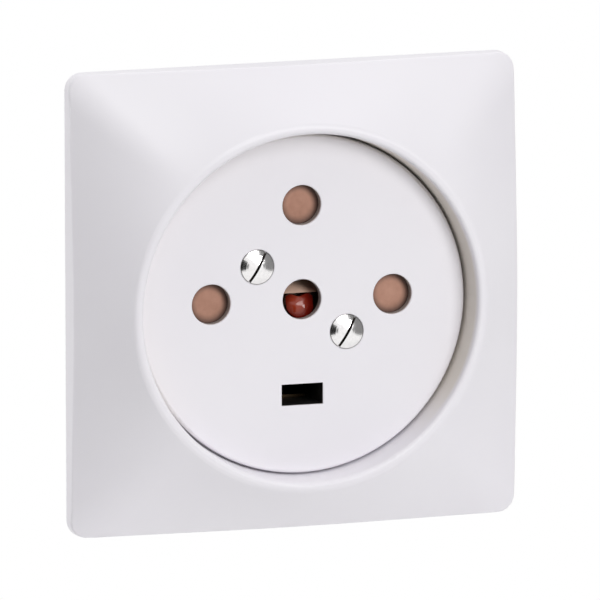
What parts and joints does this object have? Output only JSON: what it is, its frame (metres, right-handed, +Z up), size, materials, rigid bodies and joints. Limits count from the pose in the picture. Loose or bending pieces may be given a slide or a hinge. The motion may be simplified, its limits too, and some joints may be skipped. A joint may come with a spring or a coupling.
{
  "type": "three-phase socket",
  "caption": "Flush wall socket for three phases, neutral and earth: square cover plate with a round rim, recessed round front, spring-loaded shutter, contacts and box strap.",
  "frame": {"origin": "on the wall's surface, at the middle of the round pin pattern and of the strap's screw slots", "axes": "+X right seen from the front, +Y into the wall, +Z up; the front faces -Y"},
  "size_m": [0.08, 0.0386, 0.08],
  "materials": {
    "white_moulding": "gloss",
    "brown_moulding": "matt",
    "red_moulding": "gloss",
    "black_moulding": "satin",
    "zinc_plated_steel": "satin",
    "nickel_plated_steel": "polished",
    "spring_steel": "satin",
    "brass": "bright"
  },
  "bodies": {
    "socket": {"cover_plate": "white_moulding", "front_cover": "white_moulding", "cover_screw_left": "nickel_plated_steel", "cover_screw_right": "nickel_plated_steel", "shutter_spring_left": "spring_steel", "shutter_spring_right": "spring_steel", "front_housing": "black_moulding", "rear_housing": "black_moulding", "screw_insert_left": "brass", "screw_insert_right": "brass", "mounting_strap": "zinc_plated_steel", "earth_contact": "brass", "housing_screw_upper": "zinc_plated_steel", "housing_screw_lower": "zinc_plated_steel", "contact_l1": "brass", "grip_spring_l1": "spring_steel", "contact_l2": "brass", "grip_spring_l2": "spring_steel", "contact_l3": "brass", "grip_spring_l3": "spring_steel", "contact_neutral": "brass", "grip_spring_neutral": "spring_steel", "terminal_l1": "brass", "terminal_screw_l1": "zinc_plated_steel", "terminal_l2": "brass", "terminal_screw_l2": "zinc_plated_steel", "terminal_l3": "brass", "terminal_screw_l3": "zinc_plated_steel", "terminal_neutral": "brass", "terminal_screw_neutral": "zinc_plated_steel", "terminal_earth": "brass", "terminal_screw_earth": "zinc_plated_steel"},
    "shutter": {"shutter": "brown_moulding", "shutter_ramp": "red_moulding"}
  },
  "joints": [
    {"name": "shutter_slide", "type": "slide", "parent": "socket", "child": "shutter", "axis": [0, 0, -1], "range_m": [0, 0.0076], "stiffness_N_per_m": 300, "springref_m": -0.004, "deforming": ["shutter_spring_left", "shutter_spring_right"]}
  ]
}
